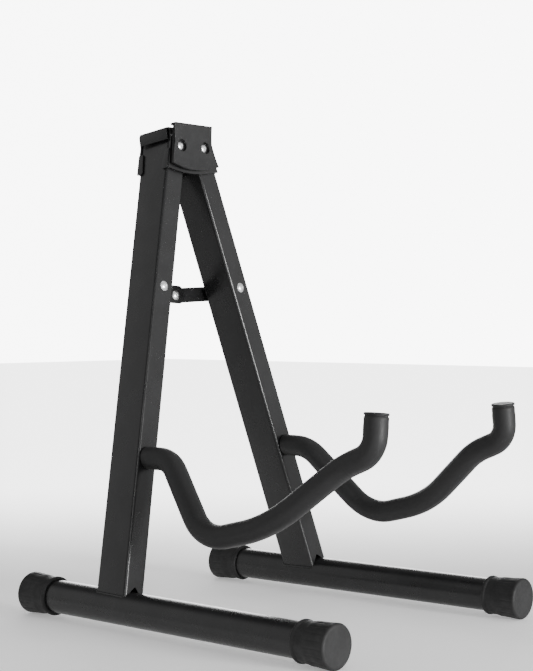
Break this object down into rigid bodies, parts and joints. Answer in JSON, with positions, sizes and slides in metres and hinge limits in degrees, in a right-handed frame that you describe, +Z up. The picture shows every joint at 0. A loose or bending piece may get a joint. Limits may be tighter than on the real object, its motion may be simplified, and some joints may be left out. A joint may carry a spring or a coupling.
{
  "type": "folding guitar stand",
  "caption": "Black folding A-frame floor stand with a pinned top hinge, a toggle link that locks it open, and foam-sleeved yoke arms that cradle an instrument body.",
  "frame": {"origin": "on the floor midway between the two feet, at the bottom centre of the open stand's box", "axes": "+Z up from the floor, +Y from the arm tips towards the back, +X to the right of the stand seen from its front; the stand mirrors left to right across X = 0"},
  "size_m": [0.2782, 0.3427, 0.4111],
  "materials": {
    "black_coated_steel": "satin black powder coat",
    "black_bumper_plastic": "fine moulded grain",
    "black_rubber": "matte moulded rubber",
    "black_foam": "closed-cell foam with a faint skin",
    "black_tip_plastic": "moulded",
    "zinc_rivet": "bright zinc plate",
    "bare_steel_rod": "plain drawn steel",
    "nylon_spacer": "moulded nylon"
  },
  "bodies": {
    "hinge": {"hinge_bracket": "black_coated_steel", "hinge_bumper": "black_bumper_plastic", "left_hinge_rivet": "zinc_rivet", "right_hinge_rivet": "zinc_rivet"},
    "left_leg": {"left_leg_tube": "black_coated_steel", "left_foot_tube": "black_coated_steel", "left_front_foot_cap": "black_rubber", "left_rear_foot_cap": "black_rubber", "left_arm_rod": "bare_steel_rod", "left_arm_sleeve": "black_foam", "left_arm_tip_cap": "black_tip_plastic", "left_link_rivet": "zinc_rivet"},
    "right_leg": {"right_leg_tube": "black_coated_steel", "right_foot_tube": "black_coated_steel", "right_front_foot_cap": "black_rubber", "right_rear_foot_cap": "black_rubber", "right_arm_rod": "bare_steel_rod", "right_arm_sleeve": "black_foam", "right_arm_tip_cap": "black_tip_plastic", "right_link_rivet": "zinc_rivet", "right_link_spacer": "nylon_spacer"},
    "left_link": {"left_link_strap": "black_coated_steel", "centre_rivet_front": "zinc_rivet"},
    "right_link": {"right_link_strap": "black_coated_steel", "centre_rivet_rear": "zinc_rivet"}
  },
  "joints": [
    {"name": "left_leg_fold", "type": "hinge", "parent": "hinge", "child": "left_leg", "pos_m": [-0.01439, 0.11668, 0.38893], "axis": [0, -0.9907, 0.1357], "range_deg": [0, 14.4]},
    {"name": "right_leg_fold", "type": "hinge", "parent": "hinge", "child": "right_leg", "pos_m": [0.01439, 0.11668, 0.38893], "axis": [0, 0.9907, -0.1357], "range_deg": [0, 14.4]},
    {"name": "left_link_fold", "type": "hinge", "parent": "left_leg", "child": "left_link", "pos_m": [-0.04748, 0.11795, 0.26709], "axis": [0, -0.9907, 0.1357], "range_deg": [0, 58.24]},
    {"name": "right_link_fold", "type": "hinge", "parent": "right_leg", "child": "right_link", "pos_m": [0.04748, 0.12013, 0.26679], "axis": [0, 0.9907, -0.1357], "range_deg": [0, 58.24]}
  ],
  "couplings": [
    {"joint": "right_leg_fold", "follows": "left_leg_fold", "ratio": 1},
    {"joint": "left_link_fold", "follows": "left_leg_fold", "ratio": 4.0438},
    {"joint": "right_link_fold", "follows": "left_leg_fold", "ratio": 4.0438}
  ]
}
